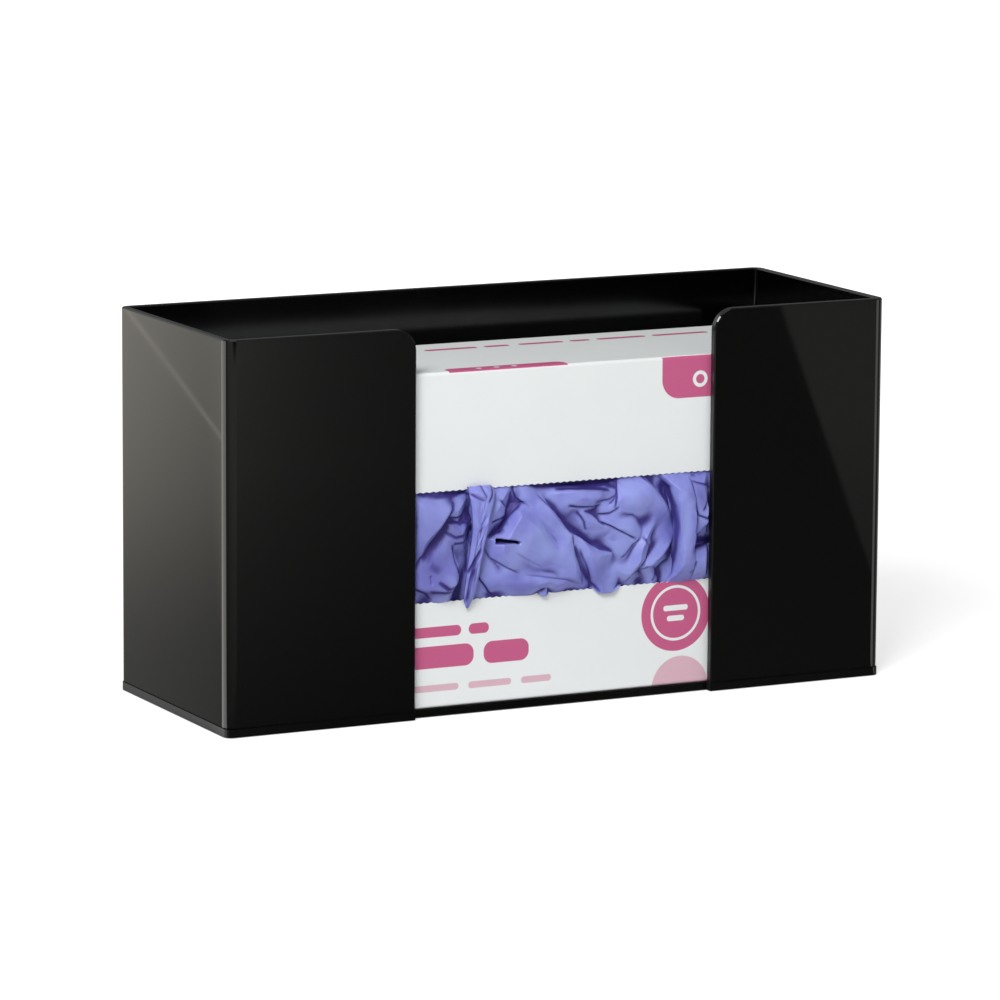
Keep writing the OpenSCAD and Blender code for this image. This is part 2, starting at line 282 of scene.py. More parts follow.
def hallFinish():
    f = Finish(bpy.data.worlds.new("hall"))
    isCamera, isGlossy = f.rays()
    toX, toY, toZ = f.split(f.make("TexCoord", None, None, "Generated"))
    paleWall = f.step(f.angle(toY, toX), *studio["paleFrom"])
    paleWall = paleWall * (1 - f.step(toZ, *studio["paleTop"]))
    mirrored = studio["hallGlossy"] + paleWall * (studio["hallPale"] - studio["hallGlossy"])
    strength = studio["hallDiffuse"] + isCamera * (1 - studio["hallDiffuse"]) \
        + isGlossy * (mirrored - studio["hallDiffuse"])
    sky = f.make("Background", None, {"Color": studio["hallColour"], "Strength": strength})
    return f.done(sky, "OutputWorld")


bpy.context.scene.world = hallFinish()

lamps = {  # azimuth from +X, elevation, distance, width, height, level on a facing surface
    "key": (226, 40, 1.7, 0.7, 0.6, 0.74),
    "fill": (285, 15, 1.8, 1.2, 1.2, 0.12),
    "overhead": (250, 74, 1.5, 1.0, 0.8, 0.08),
}
for name, (azimuth, elevation, distance, width, height, level) in lamps.items():
    a, e = math.radians(azimuth), math.radians(elevation)
    toLamp = Vector((math.cos(a) * math.cos(e), math.sin(a) * math.cos(e), math.sin(e)))
    lamp = intoScene(name, bpy.data.lights.new(name, "AREA"))
    lamp.data.shape = "RECTANGLE"
    lamp.data.size, lamp.data.size_y = width, height
    lamp.data.energy = level * math.pi ** 2 * distance ** 2
    lamp.location = Vector(studio["lampsAim"]) + toLamp * distance
    lamp.rotation_mode = "QUATERNION"
    lamp.rotation_quaternion = toLamp.to_track_quat("Z", "Y")
    lamp.visible_camera = False
    lamp.visible_glossy = name != "fill"  # too wide a lamp to show in the polished sheet


# holder
acrylic = {
    "body": (0.0030, 0.0029, 0.0028, 1), "ior": 1.49, "polish": 0.022, "haze": 0.018,
    "edgeBody": (0.010, 0.010, 0.010, 1), "edgeRough": 0.28,
    "paintedInnerShade": (0.0008, 0.0008, 0.0008, 1), "innerHaze": 0.09,
    "backLean": 0.038, "plateRound": 0.25,  # the back sheet bows, and the plate's ends are eased
    "turned": (0.6, 0.8), "faces": 0.6, "eased": (0.3, 0.6),  # how far a face turns to an axis
    # where the cut edges by the slot and the inner faces lie
    "flapY": -0.0435, "slotX": 0.0625, "cornerX": 0.0695, "cornerZ": 0.1315,
    "backInsideY": 0.043, "rightInsideX": 0.12,
    # noise scale, detail and roughness
    "smear": (26, 4, 0.6), "smeared": (0.48, 0.75), "wave": (9, 1, 0.4), "waveDepth": 0.00002,
    "grain": (900, 2, 0.5), "grainShare": 0.02, "saw": (700, 2, 0.6, (1, 1, 0.12)),
    "sawDepth": 0.00006, "sawStrength": 0.5,
}


def acrylicFinish(name, isShell):
    f = newFinish(name)
    place = f.place()
    x, y, z = f.split(place)
    towardX, towardY, towardZ = f.facing()
    nx, ny, nz = abs(towardX), abs(towardY), abs(towardZ)
    inBack = (y > acrylic["backInsideY"]) * (towardY < -acrylic["faces"])
    inRight = (x > acrylic["rightInsideX"]) * (towardX < -acrylic["faces"])
    cut = f.step(nz, *acrylic["turned"])  # sawn and scraped edges face up or down
    if isShell:  # and the flaps' edges and rounded corners by the slot are sawn too
        onFlap = y < acrylic["flapY"]
        cut = cut.high(f.step(nx, *acrylic["turned"]) * (abs(x) < acrylic["slotX"]) * onFlap)
        cut = cut.high((abs(x) < acrylic["cornerX"]) * onFlap * (z > acrylic["cornerZ"])
                       * (1 - f.step(ny, *acrylic["eased"])))
        lean = acrylic["backLean"] * inBack
    else:  # the plate's front and back edges are polished like its flat sides
        cut = 1 - cut.high(f.step(ny, *acrylic["turned"]))
        lean = acrylic["plateRound"] * (nx > acrylic["faces"])
    body = f.blend(cut, acrylic["body"], acrylic["edgeBody"])
    # painted shade: the inside faces of the back and right walls are darker than the sheet's own
    # black
    body = f.blend(inBack.high(inRight), body, acrylic["paintedInnerShade"])
    smear = f.step(f.noise(place, *acrylic["smear"]), *acrylic["smeared"])
    rough = acrylic["polish"] + acrylic["haze"] * smear
    rough = rough + (acrylic["edgeRough"] - rough) * cut + acrylic["innerHaze"] * inBack
    tilt = f.make("CombineXYZ", None, {2: lean})
    normal = f.vector("ADD", f.make("NewGeometry", None, None, "Normal"), tilt)
    normal = f.vector("NORMALIZE", normal)
    normal = f.bump(f.noise(place, *acrylic["wave"]), acrylic["waveDepth"], 1.0, normal)
    marks = f.noise(place, *acrylic["saw"]) * cut
    marks = marks + f.noise(place, *acrylic["grain"]) * acrylic["grainShare"]
    normal = f.bump(marks, acrylic["sawDepth"], acrylic["sawStrength"], normal)
    return f.done(f.make("BsdfPrincipled", None, {
        "Base Color": body, "Roughness": rough, "IOR": acrylic["ior"], "Normal": normal}))


print("holder: black acrylic")
coat(holder["folded_shell"], acrylicFinish("foldedAcrylic", True))
coat(holder["bottom_plate"], acrylicFinish("plateAcrylic", False))


# carton
card = {
    "paper": (0.865, 0.892, 0.885, 1), "cloudPaper": (0.852, 0.8786, 0.8717, 1),
    "core": (0.62, 0.60, 0.56, 1), "ink": (0.58, 0.068, 0.222, 1), "inkCover": (0.97, 0.05),
    "paleInk": (0.72, 0.43, 0.52, 1), "paleCover": 0.9,
    "rough": 0.42, "fibreRough": 0.10, "inkShine": 0.06, "ior": 1.45,
    "fibre": (1400, 3, 0.6), "fibreDepth": 0.00003, "cloud": (40, 3, 0.5), "clouded": (0.3, 0.7),
    "sag": (30, 2, 0.5), "sagDepth": 0.0004, "bumpStrength": 0.35,
    "faces": 0.6, "cutTurned": (0.5, 0.7), "topFrom": 110, "blur": 0.15,
    # print in millimetres: bars as left, right, low, high, corner, and discs as centre, radius
    "patch": (41, 96, 108, 140, 7), "patchRing": ((56.5, 114.6, 3.0), (56.5, 114.6, 1.7)),
    "bars": [(-70, -39, 28.6, 32.4, 1.8), (-36, -28, 28.6, 32.4, 1.8),
             (-78, -34, 17.4, 25.4, 3.4), (-30, -12, 17.4, 25.4, 3.4)],
    "badge": (47.5, 29.5, 14), "badgeRing": ((47.5, 29.5, 10.2), (47.5, 29.5, 9.2)),
    "badgeBars": [(42.5, 52.5, 30.4, 32.4, 0.9), (44, 51, 26.6, 28.6, 0.9)],
    "thinBars": [(-76, -40, 9.0, 11.4, 1.1), (-36, -19, 9.0, 11.4, 1.1), (-15, -3, 9.0, 11.4, 1.1)],
    "paleDisc": (49.5, 2.0, 11.5),
    "topPatch": (-44, 3, -60, -38.0, 3),
    "topDots": [(-31, -41, 1.1), (-24, -41, 1.1), (-17, -41, 1.1)],
    "topBars": [(start, end, 3.2, 6.4, 1.4) for start, end in
                ((8, 26), (29, 37), (40, 60), (63, 86), (-6, 4), (-30, -9))],
}


def cardFinish():
    f = newFinish("printedCard")
    place = f.place()
    x, y, z = (c * 1000 for c in f.split(place))
    nx, ny, nz = f.facing()

    def inked(gap):
        return 1 - f.step(gap, -card["blur"], card["blur"])

    def bar(u, v, left, right, low, high, corner):
        du = abs(u - (left + right) / 2) - ((right - left) / 2 - corner)
        dv = abs(v - (low + high) / 2) - ((high - low) / 2 - corner)
        outside = f.math("SQRT", du.high(0) ** 2 + dv.high(0) ** 2)
        return inked(outside + du.high(dv).low(0) - corner)

    def bars(u, v, rows):
        ink = bar(u, v, *rows[0])
        for row in rows[1:]:
            ink = ink.high(bar(u, v, *row))
        return ink

    def disc(u, v, cu, cv, radius):
        return inked(f.math("SQRT", (u - cu) ** 2 + (v - cv) ** 2) - radius)

    def ring(u, v, outer, inner):
        return disc(u, v, *outer) - disc(u, v, *inner)

    strong = bar(x, z, *card["patch"]) - ring(x, z, *card["patchRing"])
    strong = strong.high(bars(x, z, card["bars"]))
    badge = disc(x, z, *card["badge"]) - ring(x, z, *card["badgeRing"])
    strong = strong.high(badge - bars(x, z, card["badgeBars"]))
    top = bar(x, y, *card["topPatch"])
    for dot in card["topDots"]:
        top = top - disc(x, y, *dot)
    onTop = (nz > card["faces"]) * (z > card["topFrom"])
    onFront = ny < -card["faces"]
    ink = (strong * onFront).high(top.high(bars(x, y, card["topBars"])) * onTop)
    pale = bars(x, z, card["thinBars"]).high(disc(x, z, *card["paleDisc"])) * onFront

    fibre = f.noise(place, *card["fibre"])
    cloud = f.step(f.noise(place, *card["cloud"]), *card["clouded"])
    paper = f.blend(cloud, card["paper"], card["cloudPaper"])
    cutEdge = 1 - f.step(abs(ny).high(abs(nx)).high(abs(nz)), *card["cutTurned"])
    colour = f.blend(cutEdge, paper, card["core"])
    colour = f.blend(pale.high(0).low(1) * card["paleCover"], colour, card["paleInk"])
    cover, worn = card["inkCover"]
    colour = f.blend(ink.high(0).low(1) * (cover - worn * fibre), colour, card["ink"])
    rough = card["rough"] + card["fibreRough"] * fibre - card["inkShine"] * ink
    normal = f.bump(fibre, card["fibreDepth"], card["bumpStrength"])
    sag = f.noise(place, *card["sag"])
    normal = f.bump(sag, card["sagDepth"], card["bumpStrength"], normal)
    return f.done(f.make("BsdfPrincipled", None, {
        "Base Color": colour, "Roughness": rough, "IOR": card["ior"], "Normal": normal}))


print("carton: printed card")
coat(holder["carton"], cardFinish())


# gloves
film = {
    "light": (0.288, 0.324, 0.745, 1), "plain": (0.203, 0.212, 0.622, 1),
    # painted shade in the creases, painted light on the ridges and a painted shadow in the slits
    "sunk": (0.031, 0.0145, 0.185, 1), "proud": (0.340, 0.415, 0.820, 1),
    "slit": (0.008, 0.006, 0.016, 1), "sunkFrom": (0.05, 1.05), "sunkCover": 0.95,
    "proudFrom": (0.1, 0.9), "proudCover": 0.7, "slitFrom": (1.2, 1.8),
    "rough": 0.38, "roughened": 0.1, "ior": 1.5, "shine": 0.4,
    "sheen": 0.08, "sheenRough": 0.4, "sheenTint": (0.6, 0.65, 1, 1),
    "cloud": (70, 3, 0.55), "clouded": (0.35, 0.7),
    "grain": (1100, 2, 0.6), "grainDepth": 0.00004, "grainStrength": 0.3, "thickness": 0.00014,
}


def filmFinish():
    f = newFinish("nitrileFilm")
    place = f.place()
    # painted shade, from the film's shape: 1 in a crease, -1 on a ridge, and up to 2 in a slit
    hollow = f.make("Attribute", {"attribute_name": "hollow"}, None, "Fac")
    grain = f.noise(place, *film["grain"])
    cloud = f.step(f.noise(place, *film["cloud"]), *film["clouded"])
    colour = f.blend(cloud, film["light"], film["plain"])
    # painted shade darkens the creases, painted light brightens the ridges, and a painted shadow
    # blackens the slits
    colour = f.blend(f.step(hollow, *film["sunkFrom"]) * film["sunkCover"], colour, film["sunk"])
    ridge = f.step(hollow * -1, *film["proudFrom"])
    colour = f.blend(ridge * film["proudCover"], colour, film["proud"])
    colour = f.blend(f.step(hollow, *film["slitFrom"]), colour, film["slit"])
    rough = film["rough"] + film["roughened"] * grain + film["roughened"] * hollow
    normal = f.bump(grain, film["grainDepth"], film["grainStrength"])
    return f.done(f.make("BsdfPrincipled", None, {
        "Base Color": colour, "Roughness": rough, "IOR": film["ior"], "Normal": normal,
        "Specular IOR Level": film["shine"], "Sheen Weight": film["sheen"],
        "Sheen Roughness": film["sheenRough"], "Sheen Tint": film["sheenTint"]}))


print("gloves: nitrile film")
nitrile = filmFinish()
coat(holder["glove_stack"], nitrile)

# places are (x, z) in millimetres on the opening, and outward is towards the user
opening = {
    "low": 41.3, "high": 80.7, "tuckedLow": 1.5, "tuckedHigh": 1.3,
    "flapsInside": (-58.5, 60.5), "flapGap": 0.8,
    # how deep things lie, as y
    "behindCard": -43.1, "face": -44.2, "stack": -40.2, "foremost": -50.9, "behindFlaps": -44.35,
    "tucked": -43.6, "tuckGap": 0.3,
}
folding = {
    "bulge": 2.6, "archPower": 0.45, "shade": 4.0, "endTuck": 2.2,
    "boldness": 2.7, "boldFrom": 2.2, "sharp": 0.45, "hollow": 0.45, "hollowWidth": 0.5,
    "endShare": 0.22, "rimEdge": 0.8,
    "lobeLip": 0.9, "lobeOut": 0.8, "lobeHeld": (1.4, 0.4), "lobeClear": (1.2, 0.2),
    "lobeFoot": (7, 8.5),
    "randomHalf": (3.0, 6.5), "randomBend": 1.5, "randomHeight": (0.5, 1.0),
    "randomWidth": (2.5, 4.5),
    # threads: spacing, spare film, rounds, hold and stiffness of each finer net
    "nets": [(1.5, 1.03, 200, 0.08, 0.10), (0.8, 1.008, 160, 0.04, 0.25),
             (0.45, 1.002, 160, 0.04, 0.3)],
    "slantPull": 0.4, "evenOver": 4.0, "holdLoss": 0.8, "facets": (12, 5, 0.26), "lastNet": 1.35,
    # creases: how far they are scored, given painted shade and lapped over
    "score": 0.6, "scoreHalf": 0.6, "scoreAside": 0.5, "scoreEnds": 0.15,
    "shadeLineHalf": 0.62, "shadeLineAside": 0.45, "slitEnds": 0.06, "slitTaper": (1.25, 0.6),
    "sunken": [(3, 0.4), (12, 1.8)],
    "lap": 1.0, "lapMost": 1.2, "lapWidth": 1.6, "lapEdge": 0.3,
}

# folds: line, the side that stands proud, how far, and how soon it dies away
# rim: the line that a glove stands proud of, its side and its height
# grooves: line, depth, half width, and 1 where it shows as a slit
# bumps, and the spots of painted shade: a spot's place, radii, and how proud it is or how much
# painted shade it gets (painted light below 0)
# crumpled: a box of small random folds, and how many
# lobes: middle, half width and lowest point of film that hangs over the card's lower edge
gloveLeft = {
    "name": "gloveLeft", "standsFor": "pulled_glove_1", "span": (-73, -33.5), "ends": (6, 3),
    "seed": 3,
    "folds": [
        ([(-58.6, 53.6), (-53.4, 63.5), (-49.5, 68.3), (-46.9, 72.9), (-43.5, 77.5)],
          (-1, 1), 1.0, 14),
        ([(-62, 48.3), (-58.1, 47.5), (-53.3, 45.5), (-50.6, 42.0)], (0.3, 1), 0.9, 5),
        ([(-52.6, 46.4), (-47.0, 45.6), (-41.4, 45.4)], (0, 1), 0.7, 3),
        ([(-49.6, 49.6), (-45.9, 47.1), (-42.0, 48.2), (-41.1, 53.1)], (-1, 1), 1.1, 5),
        ([(-47.4, 73.0), (-43.0, 72.3), (-38.6, 72.8)], (0, 1), 0.8, 3),
        ([(-44.8, 70.4), (-41.0, 68.6), (-38.0, 69.6)], (0, -1), 0.7, 2.5),
        ([(-47.2, 67.4), (-43.4, 65.3), (-39.4, 66.2)], (0, 1), 0.7, 3),
        ([(-43.8, 62.7), (-38.4, 63.4)], (0, 1), 0.7, 3),
        ([(-44.6, 62.0), (-43.4, 56.0), (-41.6, 51.0)], (-1, 0), 0.7, 4)],
    "grooves": [([(-52.3, 51.4), (-52.1, 48.2)], 0.9, 0.35, 0)],
    "bumps": [(-55, 72, 7, 7, 0.5), (-49, 57, 5, 6, 0.5), (-41.0, 79.6, 3.2, 1.8, -1.6),
              (-36.0, 72.0, 1.7, 8, -2.6), (-37.5, 61.0, 1.6, 6, -1.8),
              (-39.4, 47.0, 1.5, 6, -2.2)],
    "crumpled": [(-47, -38, 62, 73, 7), (-50, -40, 42, 47, 3), (-73, -60, 44, 80, 6)],
    "paintedShadeSpots": [(-53, 64, 15, 24, 0.46), (-44.1, 77.8, 2.2, 2, 0.6), (-37.5, 71, 1.6, 7, 0.9),
            (-42.5, 67, 5, 5, 0.3), (-40.5, 46, 1.4, 5, 0.8), (-50, 51, 6, 6, 0.2),
            (-50, 45, 6, 1.5, 0.25)],
    "lobes": [],
}
gloveMiddle = {
    "name": "gloveMiddle", "standsFor": "pulled_glove_3", "span": (-34.5, 49.0), "ends": (4, 3),
    "seed": 5,
    "folds": [
        ([(-14.4, 74.9), (-18.4, 71.6), (-21.4, 68.2), (-24.6, 64.6), (-30.2, 62.9)],
          (1, -1), 1.7, 18),
        ([(-18.3, 81.0), (-17.1, 77.1), (-14.0, 74.6)], (1, 0.6), 1.2, 5),
        ([(-9.9, 77.2), (-6.0, 72.7), (-1.5, 67.6), (1.5, 62.9), (6.0, 60.5), (10.5, 57.4),
          (14.1, 55.5), (21.3, 53.7)], (-1, -0.7), 1.2, 9),
        ([(1.9, 62.4), (3.8, 54.7), (6.5, 49.2), (8.6, 43.2)], (-1, -0.2), 1.0, 6),
        ([(6.4, 57.0), (10.1, 50.5), (12.4, 45.5), (13.4, 42.4)], (1, 0.3), 1.0, 5),
        ([(-31.0, 60.0), (-28.4, 56.3), (-22.6, 52.7), (-17.3, 50.1)], (1, 1), 0.7, 5),
        ([(-20.4, 58.4), (-13.8, 54.4), (-9.3, 52.0), (-7.1, 50.3)], (1, 1), 0.45, 5),
        ([(-16.0, 48.6), (-7.1, 47.1), (1.4, 45.3), (8.0, 43.0)], (0, -1), 0.6, 5),
        ([(-33.0, 50.5), (-28.8, 45.3), (-26.0, 41.9)], (1, 0.8), 1.1, 4),
        ([(24.2, 81.0), (22.4, 74.3), (20.7, 70.6)], (1, -0.4), 1.3, 7),
        ([(-2.0, 77.8), (8.0, 77.4), (19.6, 76.6)], (0, -1), 1.1, 5),
        ([(12.0, 74.0), (17.9, 74.2), (21.8, 75.3)], (0, 1), 0.8, 3),
        ([(2.2, 72.9), (8.1, 72.5), (15.2, 72.4)], (0, 1), 1.0, 4),
        ([(13.4, 69.1), (18.0, 69.6), (22.2, 71.3)], (0, 1), 0.9, 3),
        ([(5.6, 70.9), (7.7, 68.7), (9.0, 66.6), (10.4, 62.5)], (1, 1), 0.8, 4),
        ([(13.9, 66.6), (18.5, 65.3), (21.7, 63.4), (25.3, 61.5), (29.0, 59.2)], (1, 1), 1.2, 7),
        ([(32.0, 81.4), (35.0, 77.4), (38.7, 73.5), (41.5, 70.0), (44.4, 65.6)],
          (-1, -0.6), 1.2, 9),
        ([(30.6, 59.4), (27.1, 57.3), (24.9, 53.8), (23.4, 51.6)], (-1, 1), 0.9, 4),
        ([(30.5, 59.6), (33.5, 55.6), (32.2, 51.2), (28.2, 45.9), (25.8, 42.0)],
          (-1, -0.2), 1.2, 5),
        ([(46.6, 57.9), (42.6, 53.7), (37.6, 50.0), (32.7, 48.2), (28.2, 45.4)], (-1, 1), 1.3, 5),
        ([(43.0, 51.0), (38.5, 47.0), (37.2, 42.0)], (-1, 0.3), 0.9, 4),
        ([(-25.4, 76.6), (-22.6, 73.6), (-22.8, 70.7), (-28.2, 68.8)], (-1, 0.3), 1.4, 3),
        ([(-29.0, 81.0), (-27.6, 76.0), (-29.0, 70.0)], (1, 0), 0.8, 3)],
    "grooves": [([(-27.5, 61.9), (-23.5, 61.8), (-20.6, 61.6), (-18.3, 60.9)], 4.6, 0.62, 1)],
    "bumps": [(-12, 45.5, 11, 3.2, 1.2), (18.5, 43, 6, 4, 1.8), (9.0, 79.8, 13, 2.0, -2.2),
              (31, 73, 5, 5, 0.9), (-11, 66, 7, 6, 1.0), (43.6, 74.5, 2.4, 6, -2.6),
              (45.8, 64.5, 2.1, 8, -2.4), (44.3, 52.5, 2.6, 5, -2.6), (40.0, 45.5, 2.4, 3, -1.8),
              (33.6, 44.6, 1.3, 1.6, -2.4), (-26.5, 43.8, 3.2, 1.8, -1.8),
              (3.5, 42.8, 5.5, 1.2, -1.4), (-20.5, 69.5, 1.8, 2.6, -1.2)],
    "crumpled": [(-30, -19, 68, 80, 4), (3, 24, 64, 76, 5), (26, 43, 44, 60, 4)],
    "paintedShadeSpots": [(-26, 65.5, 3.5, 3, 0.5), (-16.8, 78.2, 1.6, 3.5, 0.6), (-1, 79.4, 6, 1.1, 0.6),
            (14, 78, 9, 2.5, 0.45), (5, 71, 5, 4, 0.25), (16, 69.5, 5, 3, 0.25),
            (36, 66, 5, 4, 0.3), (36.9, 79.8, 2, 2, 0.5), (41.5, 75.6, 2, 3, 0.5),
            (44.2, 52.2, 2, 5, 0.8), (39.7, 44.5, 2.5, 2, 0.6), (32, 42.4, 1.4, 1.2, 0.9),
            (-28, 42.4, 3, 1.3, 0.6), (4.1, 41.4, 5, 1.1, 0.7), (-11, 45.6, 14, 1.3, 0.25),
            (-20, 43.5, 8, 3, 0.2), (-9, 63, 7, 8, -0.65), (-4, 55, 6, 4, -0.4),
            (27, 74, 4, 5, -0.45), (10, 52, 5, 3, -0.3), (18, 43, 4, 5, -0.35),
            (-26, 74, 3, 3, -0.3)],
    "lobes": [(18.6, 5.6, 39.3), (-6.7, 2.2, 40.2)],
}
gloveRight = {
    "name": "gloveRight", "standsFor": "pulled_glove_4", "span": (35, 73), "ends": (4, 6),
    "seed": 8,
    "folds": [
        ([(39.0, 82.0), (44.6, 76.4), (46.4, 69.4), (46.8, 62.0), (46.8, 54.8), (46.8, 49.2),
          (45.7, 44.6), (43.0, 40.0)], (1, 0), 1.5, 8),
        ([(51.6, 80.2), (52.2, 66.4), (52.3, 54.3), (52.2, 41.0)], (-1, 0), 1.3, 5),
        ([(52.9, 70.0), (54.3, 66.2), (57.9, 64.8), (61.5, 65.0)], (1, 1), 0.9, 3),
        ([(60.6, 75.5), (57.6, 71.0), (55.6, 67.4)], (-1, 0.3), 0.9, 3),
        ([(54.2, 57.8), (55.6, 61.0), (59.2, 64.0)], (-1, 1), 0.9, 3),
        ([(52.2, 53.5), (56.3, 53.2), (60.8, 53.4), (72, 54)], (0, -1), 1.7, 9),
        ([(51.9, 78.6), (60.4, 76.1)], (0, 1), 0.7, 3)],
    "grooves": [([(53.0, 48.4), (53.8, 46.9)], 1.4, 0.5, 0)],
    "bumps": [(49.2, 60, 2.2, 18, 0.5), (56, 55.2, 5, 1.3, -1.4), (58.8, 74.5, 1.6, 3, -1.4)],
    "rim": ([(38.0, 84.0), (42.8, 78.6), (45.5, 72.4), (46.2, 66.0), (46.4, 60.0), (46.4, 54.0),
             (46.1, 48.6), (44.9, 44.0), (42.0, 39.0)], (1, 0), 2.6),
    "crumpled": [(53, 73, 56, 78, 9)],
    "paintedShadeSpots": [(56, 72, 3.5, 7, 0.4), (56, 53, 5, 1, 0.7), (51.3, 45, 0.8, 1, 0.7),
            (48.8, 62, 2.0, 16, -0.7), (55, 48, 4, 3, -0.3)],
    "lobes": [],
}


def alongLine(px, pz, line, toward):
    # distance to a bent line, its sign towards the raised side, and the share of the length passed
    line = np.array(line, float)
    leg = np.diff(line, axis=0)
    run = np.hypot(*leg.T)
    passed = np.concatenate([[0], np.cumsum(run)])
    best = np.full(px.shape, np.inf)
    signed = np.zeros(px.shape)
    share = np.zeros(px.shape)
    for k in range(len(leg)):
        ux, uz = leg[k] / run[k]
        dx, dz = px - line[k, 0], pz - line[k, 1]
        t = np.clip(dx * ux + dz * uz, 0, run[k])
        ox, oz = dx - t * ux, dz - t * uz
        away = np.hypot(ox, oz)
        nx, nz = (-uz, ux) if -uz * toward[0] + ux * toward[1] > 0 else (uz, -ux)
        closer = away < best
        best = np.where(closer, away, best)
        signed = np.where(closer, np.where(ox * nx + oz * nz < 0, -away, away), signed)
        share = np.where(closer, (passed[k] + t) / passed[-1], share)
    return signed, share


def ramp(passed, length):  # from 0 to 1
    return np.clip(passed / length, 0, 1)


def fading(share, over):  # 0 at both ends of a line and 1 between
    return ramp(np.minimum(share, 1 - share), over)


def pastEdge(d, over):  # 0 on the low side of a line and 1 on the raised side
    return 0.5 + 0.5 * np.tanh(d / over)


def spot(px, pz, cx, cz, rx, rz):
    return np.exp(-((px - cx) / rx) ** 2 - ((pz - cz) / rz) ** 2)


def crease(px, pz, fold, sharp):
    line, toward, height, width = fold
    d, share = alongLine(px, pz, line, toward)
    fade = fading(share, folding["endShare"])
    fade = fade * fade * (3 - 2 * fade)
    lip = np.exp(-np.abs(d) / width)
    hollow = -folding["hollow"] * np.exp(-np.abs(d) / (folding["hollowWidth"] * width))
    over = pastEdge(d, sharp)
    return height * fade * (lip * over + hollow * (1 - over))


def randomFold(rng, box):
    x0, x1, z0, z1 = box
    cx, cz = rng.uniform(x0, x1), rng.uniform(z0, z1)
    turn, half = rng.uniform(0, math.pi), rng.uniform(*folding["randomHalf"])
    bend = rng.uniform(-folding["randomBend"], folding["randomBend"])
    ux, uz = math.cos(turn), math.sin(turn)
    line = [(cx - half * ux, cz - half * uz), (cx - bend * uz, cz + bend * ux),
            (cx + half * ux, cz + half * uz)]
    height, width = rng.uniform(*folding["randomHeight"]), rng.uniform(*folding["randomWidth"])
    return line, (-uz, ux), height, width


def glovePlan(spec, spacing):
    rng = np.random.default_rng(spec["seed"])
    folds = list(spec["folds"])
    for *box, count in spec["crumpled"]:
        folds += [randomFold(rng, box) for k in range(count)]
    low, high, behindCard = (opening[k] for k in ("low", "high", "behindCard"))
    x0, x1 = spec["span"]
    z0, z1 = low - opening["tuckedLow"], high + opening["tuckedHigh"]
    across, up = round((x1 - x0) / spacing) + 1, round((z1 - z0) / spacing) + 1
    px, pz = np.meshgrid(np.linspace(x0, x1, across), np.linspace(z0, z1, up), indexing="ij")
    v = ramp(pz - low, high - low)
    arch = np.clip(4 * v * (1 - v), 0, 1) ** folding["archPower"]
    arch = arch * ramp(high - pz, folding["shade"])
    a, b = spec["ends"]
    ends = np.sqrt(ramp(px - x0, a) * ramp(x1 - px, b))
    h = folding["bulge"] * arch * ends
    for fold in folds:
        h = h + folding["boldness"] * crease(px, pz, fold, folding["sharp"]) \
            * np.minimum(1, folding["boldFrom"] * arch)
    if "rim" in spec:
        line, toward, drop = spec["rim"]
        h = h - drop * pastEdge(-alongLine(px, pz, line, toward)[0], folding["rimEdge"])
    for cx, cz, rx, rz, height in spec["bumps"]:
        h = h + height * spot(px, pz, cx, cz, rx, rz)
    y = behindCard - h + folding["endTuck"] * (1 - ends)
    z = pz.copy()
    for cx, half, lowest in spec["lobes"]:
        away = np.abs(px - cx) / half
        near = np.clip(1 - away ** 3, 0, 1)
        held = ramp(folding["lobeHeld"][0] - away, folding["lobeHeld"][1])
        clear = ramp(folding["lobeClear"][0] - away, folding["lobeClear"][1])
        foot = ramp(low + folding["lobeFoot"][0] - pz, folding["lobeFoot"][1])
        lip = low + folding["lobeLip"]
        z = z + held * foot ** 2 * (lip - (lip - lowest) * near - z0)
        out = folding["lobeOut"]
        hanging = np.minimum(y, opening["face"] - out - out * near)
        y = y * (1 - clear * foot) + clear * foot * hanging
    return np.stack([px, y, z], -1)


def withinReach(p, plan):
    # stays off the card, the flaps and the stack
    x, y, z = p[..., 0], p[..., 1], p[..., 2]
    left, right = opening["flapsInside"]
    inSlot = (x > left + opening["flapGap"]) & (x < right - opening["flapGap"])
    front = np.where(inSlot, opening["foremost"], opening["behindFlaps"])
    np.clip(y, front, opening["stack"], out=y)
    behind = (z > opening["high"]) & (plan[..., 1] > opening["tucked"])
    y[behind] = np.maximum(y[behind], opening["behindCard"] - opening["tuckGap"])


def pairOf(p, i, j, start, sets):
    # every point and its neighbour i across and j up, taken in sets that share no point
    if i:
        a = p[start:p.shape[0] - i:sets]
        b = p[start + i::sets][:a.shape[0]]
        if j:
            a, b = (a[:, :-1], b[:, 1:]) if j > 0 else (a[:, 1:], b[:, :-1])
    else:
        a = p[:, start:p.shape[1] - j:sets]
        b = p[:, start + j::sets][:, :a.shape[1]]
    return a, b


def evened(values, reach):
    # a running mean over a few points both ways
    for axis in (0, 1):
        v = np.moveaxis(values, axis, 0)
        for again in range(2):
            pad = np.concatenate([np.repeat(v[:1], reach, 0), v, np.repeat(v[-1:], reach, 0)])
            total = np.concatenate([np.zeros_like(pad[:1]), np.cumsum(pad, 0)])
            v = (total[2 * reach + 1:] - total[:-2 * reach - 1]) / (2 * reach + 1)
        values = np.moveaxis(v, 0, axis)
    return values


